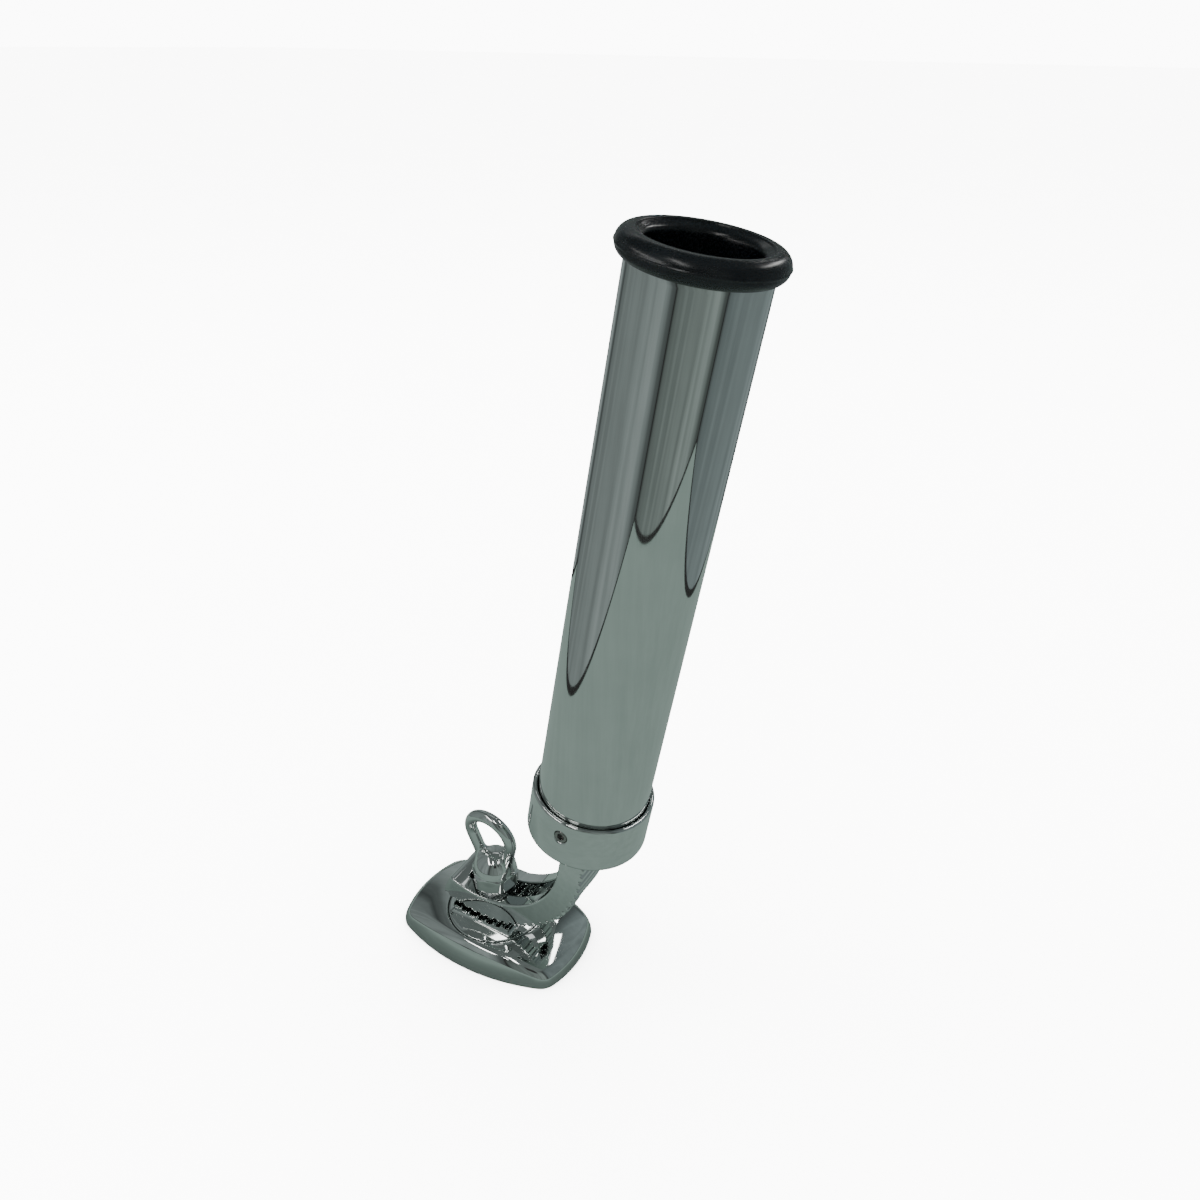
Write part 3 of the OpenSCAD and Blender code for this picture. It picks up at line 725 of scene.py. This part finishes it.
collar = field_mesh("tube_collar", collar_field, off_tube_axis(COLLAR_LO), off_tube_axis(COLLAR_HI),
                    FINE, tube_place)
finish_piece(collar, "arm", "collar", cast_steel)


def nut_place(p):
    c, s = math.cos(math.radians(NUT_ANGLE)), math.sin(math.radians(NUT_ANGLE))
    return p @ np.array([[c, s, 0.0], [-s, c, 0.0], [0.0, 0.0, 1.0]])


ring_nut = field_mesh("clamp_ring_nut", ring_nut_field, (-16.5, -13.5, NUT_LO[2]),
                      (16.5, 13.5, NUT_HI[2] + 0.5), FINE * 0.7, nut_place)
finish_piece(ring_nut, "nut", "ring_nut", ring_steel)


def screw_place(side):
    """The set screw's field faces -Y, so the back one is turned half round the tube."""
    if side < 0:
        return tube_place
    return lambda p: tube_place(p * np.array([-1.0, -1.0, 1.0]))


def raised(field, height):
    return lambda p: field(p - np.array([0.0, 0.0, height]))


SCREW_ROOM = SET_SCREW_R + 0.2
SCREW_STEP = 0.2
for label, side in (("front", -1), ("back", 1)):
    screw = field_mesh("set_screw_" + label, raised(set_screw_field, SET_SCREW_Z),
                       (-SCREW_ROOM, -COLLAR_R, SET_SCREW_Z - SCREW_ROOM),
                       (SCREW_ROOM, -TUBE_R, SET_SCREW_Z + SCREW_ROOM), SCREW_STEP, screw_place(side))
    finish_piece(screw, "arm", "set_screws", screw_steel)

TUBE_WALL = 1.5
EDGE = 0.3          # the broken edge at the tube's ends
tube_outline = [(TUBE_R - TUBE_WALL, TUBE_LO[2] + EDGE), (TUBE_R - TUBE_WALL + EDGE, TUBE_LO[2]),
                (TUBE_R - EDGE, TUBE_LO[2]), (TUBE_R, TUBE_LO[2] + EDGE)]
tube_outline += [(TUBE_R, z) for z in np.linspace(TUBE_LO[2] + 4, TUBE_HI[2] - 4, 24)]
tube_outline += [(TUBE_R, TUBE_HI[2] - EDGE), (TUBE_R - EDGE, TUBE_HI[2]),
                 (TUBE_R - TUBE_WALL + EDGE, TUBE_HI[2]), (TUBE_R - TUBE_WALL, TUBE_HI[2] - EDGE)]
tube = lathe("rod_tube", tube_outline, 384, tube_place)
finish_piece(tube, "arm", "tube", tube_steel)

# Rubber liner: plain inside the tube, with a round bead over its end
BEAD_Z = TUBE_HI[2] + 2.0
BEAD_R = LINER_HI[2] - BEAD_Z
BEAD_RING_R = BEAD_OUT_R - BEAD_R
LINER_R = TUBE_R - TUBE_WALL - 0.1
NUB_H, RIDGE_H, LIP_DROP = 0.25, 0.12, 0.35


def ramp(value, start, end):
    t = min(max((value - start) / (end - start), 0.0), 1.0)
    return t * t * (3.0 - 2.0 * t)


def bead_point(angle):
    """On the bead's section, at an angle in degrees from straight out: a parting nub at its
    widest, a low ridge on top and a sunk lip inside the ridge."""
    radius = BEAD_R - NUB_H * (1.0 - math.exp(-(angle / 4.5) ** 2)) * (1.0 - ramp(angle, 115.0, 150.0))
    radius += RIDGE_H * math.exp(-((angle - 106.0) / 3.0) ** 2)
    radius -= LIP_DROP * ramp(angle, 109.0, 114.0) * (1.0 - ramp(angle, 125.0, 155.0))
    turn = math.radians(angle)
    return (BEAD_RING_R + radius * math.cos(turn), BEAD_Z + radius * math.sin(turn))


inner_turn = math.degrees(math.acos((BORE_R - BEAD_RING_R) / BEAD_R))
liner_outline = [(BORE_R, z) for z in np.linspace(LINER_LO[2] + 0.5, BEAD_Z, 20)]
liner_outline += [bead_point(angle) for angle in np.linspace(inner_turn, -78.0, 140)]
liner_outline += [(TUBE_R + 0.1, TUBE_HI[2] - 2.6), (TUBE_R + 0.1, TUBE_HI[2] + 0.1),
                  (LINER_R, TUBE_HI[2] + 0.1)]
liner_outline += [(LINER_R, z) for z in np.linspace(TUBE_HI[2] - 2, LINER_LO[2] + 0.5, 12)]
liner_outline += [(LINER_R - 0.5, LINER_LO[2]), (BORE_R + 0.5, LINER_LO[2])]
liner = lathe("mouth_liner", liner_outline, 320, tube_place)
finish_piece(liner, "arm", "tube_liner", mouth_rubber)

# Butt pad: shallow rings on top, a recess below for the screw's head
PAD_LO, PAD_HI = span("butt_pad", True)
PAD_R = (PAD_HI[1] - PAD_LO[1]) / 2
PAD_RING_H, PAD_RING_STEP = 0.3, 3.2
PAD_RINGS_FROM, PAD_RINGS_TO = 3.2, 12.8
RECESS_R, RECESS_H = 8.0, 7.8


def pad_field(p):
    x, y, z = p[:, 0], p[:, 1], p[:, 2]
    r = np.hypot(x, y)
    rings = PAD_RING_H * (0.5 - 0.5 * np.cos(r * 2 * math.pi / PAD_RING_STEP))
    rings = rings * (r < PAD_RINGS_TO) * (r > PAD_RINGS_FROM)
    solid = smax(smax(r - PAD_R, z - PAD_HI[2] + rings, 1.2), PAD_LO[2] - z, 0.4)
    recess = np.maximum(r - RECESS_R, z - (PAD_LO[2] + RECESS_H))
    drain = np.hypot(x - DRAIN_X, y) - DRAIN_R
    return smax(solid, -np.minimum(recess, drain), 0.5)


pad = field_mesh("rod_butt_pad", pad_field, off_tube_axis(PAD_LO), off_tube_axis(PAD_HI), FINE, tube_place)
finish_piece(pad, "arm", "butt_pad", pad_rubber)

SEAL_LO, SEAL_HI = span("seal_ring")
SEAL_R = (SEAL_HI[2] - SEAL_LO[2]) / 2
SEAL_RING_R = (SEAL_HI[0] - SEAL_LO[0]) / 2 - SEAL_R
seal = lathe("swivel_seal_ring", arc(SEAL_RING_R, SEAL_LO[2] + SEAL_R, SEAL_R, 0, 345, 24))
finish_piece(seal, "turntable", "seal_ring", seal_rubber)

# Pieces that keep their CAD shape
STEEL_NODES = ("clamp_bolt", "bolt_washer", "saddle_washer", "nut_washer", "collar_screw", "lock_washer")
NYLON_NODES = ("swivel_washer", "swivel_bush")
for nodes, material in ((STEEL_NODES, plain_steel), (NYLON_NODES, nylon)):
    for node in nodes:
        for slot in frame["nodes"][node].material_slots:
            slot.material = material


# ---------------------------------------------------------------- floor, light and camera

# The holder stands in a light tent that only its reflections show. Lengths are in metres from here.

FRONT_TURN = math.radians(-56.0)     # where the tent's front wall stands, seen from above
LEFT, RIGHT, FRONT, BACK = 0.264, 0.360, 0.450, 0.420
TENT_H = 0.62
CORNER_SEAM = 0.024
FOOT_SEAM = 0.009
TENT_OUT = Vector((math.cos(FRONT_TURN), math.sin(FRONT_TURN), 0.0))
TENT_SIDE = Vector((-TENT_OUT.y, TENT_OUT.x, 0.0))


def glow(name, tone, strength, fold_shade=0.0, corner=1.0, top=1.0):
    """A glowing sheet: its own pale tone, with painted fold shading, painted shade that darkens its upright edges
    and painted shade that darkens its top.
    """
    m = bpy.data.materials.new(name)
    m.use_nodes = True
    nodes, links = m.node_tree.nodes, m.node_tree.links
    nodes.clear()
    out = nodes.new("ShaderNodeOutputMaterial")
    shader = nodes.new("ShaderNodeEmission")
    shader.inputs["Color"].default_value = (*tone, 1.0)
    links.new(shader.outputs[0], out.inputs[0])
    coord = nodes.new("ShaderNodeTexCoord")
    parts = nodes.new("ShaderNodeSeparateXYZ")
    links.new(coord.outputs["Generated"], parts.inputs[0])
    stretch = nodes.new("ShaderNodeMapping")
    stretch.inputs["Scale"].default_value = (9.0, 0.7, 1.0)
    links.new(coord.outputs["Generated"], stretch.inputs["Vector"])
    wave = noise(m, stretch.outputs["Vector"], 1.0, 3.0, 0.55, 0.3)
    # Painted shade: the glow darkens towards the upright edges, ripples over painted folds and fades towards the
    # top
    edge = math_node(m, "ABSOLUTE", math_node(m, "SUBTRACT", parts.outputs[0], 0.5), 0.0)
    shade = remap(m, edge, 0.30, 0.5, 1.0, corner)
    painted_folds = remap(m, wave, 0.3, 0.7, 1.0 - fold_shade, 1.0 + fold_shade)
    fading = remap(m, parts.outputs[1], 0.4, 1.0, strength, strength * top)
    shape = math_node(m, "MULTIPLY", shade, painted_folds)
    links.new(math_node(m, "MULTIPLY", shape, fading), shader.inputs["Strength"])
    return m


def card(name, centre, size, towards, material):
    """A flat sheet facing a point, with its own Y axis upright."""
    mesh = bpy.data.meshes.new(name)
    w, h = size[0] / 2, size[1] / 2
    mesh.from_pydata([(-w, -h, 0), (w, -h, 0), (w, h, 0), (-w, h, 0)], [], [(0, 1, 2, 3)])
    mesh.materials.append(material)
    obj = bpy.data.objects.new(name, mesh)
    bpy.context.scene.collection.objects.link(obj)
    obj.location = centre
    obj.rotation_euler = (Vector(towards) - Vector(centre)).to_track_quat("Z", "Y").to_euler()
    return obj


def mirrored_card(name, centre, size, towards, material):
    """A card that only reflections see."""
    obj = card(name, centre, size, towards, material)
    obj.visible_camera = False
    obj.visible_diffuse = False
    obj.visible_shadow = False
    return obj


def tent_wall(name, out, distance, width, offset, material):
    """One wall of the light tent, with a dark seam at its foot."""
    along = Vector((-out.y, out.x, 0.0))
    foot = out * distance + along * offset
    up = Vector((0.0, 0.0, TENT_H / 2))
    mirrored_card(name, foot + up, (width, TENT_H), up + along * offset, material)
    lift = Vector((0.0, 0.0, 0.004))
    mirrored_card(name + "_seam", foot * 0.995 + lift, (width, FOOT_SEAM), along * offset + lift, seam_tone)


def pale_floor(name):
    """A plain pale floor. Reflections see the tent's dimmer floor instead: a glow with a painted contact shadow,
    darkest beside the base.
    """
    m, shader = new_material(name)
    nodes, links = m.node_tree.nodes, m.node_tree.links
    tone = noise(m, mapped(m, (1.0, 1.0, 1.0)), 0.004, 3.0)
    links.new(blend_colours(m, tone, (0.86, 0.86, 0.855), (0.89, 0.89, 0.885)), shader.inputs["Base Color"])
    shader.inputs["Roughness"].default_value = 0.8
    shader.inputs["Specular IOR Level"].default_value = 0.2
    dim = nodes.new("ShaderNodeEmission")
    beside = mapped(m, (1.0 / BASE_HI[0], 1.0 / BASE_HI[1], 0.0))
    from_base = nodes.new("ShaderNodeVectorMath")
    from_base.operation = "LENGTH"
    links.new(beside, from_base.inputs[0])
    # Painted contact shadow: the reflected floor's glow drops to 0.42 of its strength beside the base
    links.new(remap(m, from_base.outputs["Value"], 1.0, 2.4, 0.42, 1.0), dim.inputs["Strength"])
    dim.inputs["Color"].default_value = (0.303, 0.388, 0.353, 1.0)
    which = nodes.new("ShaderNodeMixShader")
    path = nodes.new("ShaderNodeLightPath")
    links.new(path.outputs["Is Glossy Ray"], which.inputs[0])
    links.new(shader.outputs[0], which.inputs[1])
    links.new(dim.outputs[0], which.inputs[2])
    out = next(n for n in nodes if n.type == "OUTPUT_MATERIAL")
    links.new(which.outputs[0], out.inputs[0])
    return m


card("floor", (0.0, 0.0, 0.0), (60.0, 60.0), (0.0, 0.0, 1.0), pale_floor("pale_floor"))

seam_tone = glow("tent_seam", (0.1, 0.1, 0.1), 0.35)
# The walls and top are one cloth, each glowing at its own strength: painted light and shade for how much light
# falls on each
cloth = glow("tent_cloth", (0.864, 1.0, 0.979), 0.291, 0.28, 0.25, 0.8)
right_cloth = glow("tent_right", (0.83, 1.0, 1.0), 0.266, 0.22, 0.35, 0.55)
front_cloth = glow("tent_front", (0.846, 1.0, 0.945), 0.272, 0.32, 0.20, 0.7)
top_cloth = glow("tent_top", (0.86, 1.0, 0.97), 0.17, 0.2, 0.5)
lamp_tone = glow("tent_lamps", (1.0, 1.0, 0.98), 9.0)
soft_lamp = glow("tent_soft_lamp", (0.97, 1.0, 1.0), 1.2)
DEPTH, WIDTH = FRONT + BACK, LEFT + RIGHT
side_shift, depth_shift = (RIGHT - LEFT) / 2, (FRONT - BACK) / 2
tent_wall("tent_front", TENT_OUT, FRONT, WIDTH, side_shift, front_cloth)
tent_wall("tent_back", -TENT_OUT, BACK, WIDTH, -side_shift, cloth)
tent_wall("tent_right", TENT_SIDE, RIGHT, DEPTH, -depth_shift, right_cloth)
tent_wall("tent_left", -TENT_SIDE, LEFT, DEPTH, depth_shift, cloth)
for label, side in (("left", -LEFT), ("right", RIGHT)):
    corner = TENT_SIDE * side * 0.99 + TENT_OUT * FRONT * 0.99
    mirrored_card("corner_" + label, corner + Vector((0, 0, TENT_H / 2)), (CORNER_SEAM, TENT_H),
                  (0.0, 0.0, TENT_H / 2), seam_tone)
middle = TENT_SIDE * side_shift + TENT_OUT * depth_shift
mirrored_card("tent_top", middle + Vector((0, 0, TENT_H)), (1.0, 1.0), middle, top_cloth)


LAMPS_FACE = Vector((0.0, 0.0, 0.05))


def lamp_bar(name, out, side, height, length, width, along, tone):
    """A bright bar just inside the tent, facing the base, with its length along a level direction."""
    place = TENT_OUT * out + TENT_SIDE * side + Vector((0.0, 0.0, height))
    facing = (LAMPS_FACE - place).normalized()
    across = facing.cross(along).normalized()
    bar = mirrored_card(name, place, (length, width), LAMPS_FACE, tone)
    bar.rotation_euler = Matrix((across.cross(facing), across, facing)).transposed().to_euler()


lamp_bar("lamp_bar_left", 0.11, -LEFT + 0.01, 0.45, 0.33, 0.045, TENT_OUT, lamp_tone)
lamp_bar("lamp_bar_front", 0.235, -0.095, TENT_H - 0.01, 0.34, 0.045, TENT_OUT, lamp_tone)
lamp_bar("lamp_bar_right", -0.10, RIGHT - 0.01, 0.53, 0.24, 0.05, TENT_OUT, lamp_tone)
lamp_bar("lamp_bar_back", -0.30, 0.05, TENT_H - 0.01, 0.30, 0.05, TENT_SIDE, soft_lamp)
# The opening the camera looks in through
facing_opening = TENT_SIDE * 0.016 + Vector((0.0, 0.0, 0.43))
mirrored_card("camera_opening", facing_opening + TENT_OUT * (FRONT - 0.005), (0.13, 0.17),
              facing_opening, seam_tone)

LIGHTS_FACE = Vector((0.04, 0.0, 0.15))


def area_light(name, place, size, energy):
    """A soft light that reflections don't see."""
    lamp = bpy.data.lights.new(name, "AREA")
    lamp.shape = "RECTANGLE"
    lamp.size, lamp.size_y = size
    lamp.energy = energy
    obj = bpy.data.objects.new(name, lamp)
    bpy.context.scene.collection.objects.link(obj)
    obj.location = place
    obj.rotation_euler = (LIGHTS_FACE - Vector(place)).to_track_quat("-Z", "Y").to_euler()
    obj.visible_glossy = False


area_light("overhead", (0.1, 0.2, 2.4), (2.6, 2.6), 150.0)
area_light("left", (-1.6, -0.7, 1.3), (1.0, 1.4), 50.0)

world = bpy.data.worlds.new("studio")
world.use_nodes = True
sky = world.node_tree.nodes["Background"]
sky.inputs["Color"].default_value = (1.0, 1.0, 1.0, 1.0)
sky.inputs["Strength"].default_value = 11.0
bpy.context.scene.world = world

# Camera: 30 mm on a 36 mm frame, looking down at the holder from the front right
CAMERA_AT = Vector((0.2252, -0.3048, 0.4076))
CAMERA_LOOKS = Vector((-0.419, 0.765, -0.489)).normalized()
CAMERA_RIGHT = Vector((0.8736, 0.4865, 0.0135))
CAMERA_RIGHT = (CAMERA_RIGHT - CAMERA_RIGHT.dot(CAMERA_LOOKS) * CAMERA_LOOKS).normalized()
CAMERA_UP = CAMERA_RIGHT.cross(CAMERA_LOOKS)
camera_data = bpy.data.cameras.new("camera")
camera_data.lens = 30.0
camera_data.sensor_width = 36.0
camera_data.clip_start = 0.01
camera = bpy.data.objects.new("camera", camera_data)
bpy.context.scene.collection.objects.link(camera)
turn = Matrix((CAMERA_RIGHT, CAMERA_UP, -CAMERA_LOOKS)).transposed().to_4x4()
camera.matrix_world = Matrix.Translation(CAMERA_AT) @ turn
bpy.context.scene.camera = camera


def plain(box):
    return [[float(v) for v in corner] for corner in box]
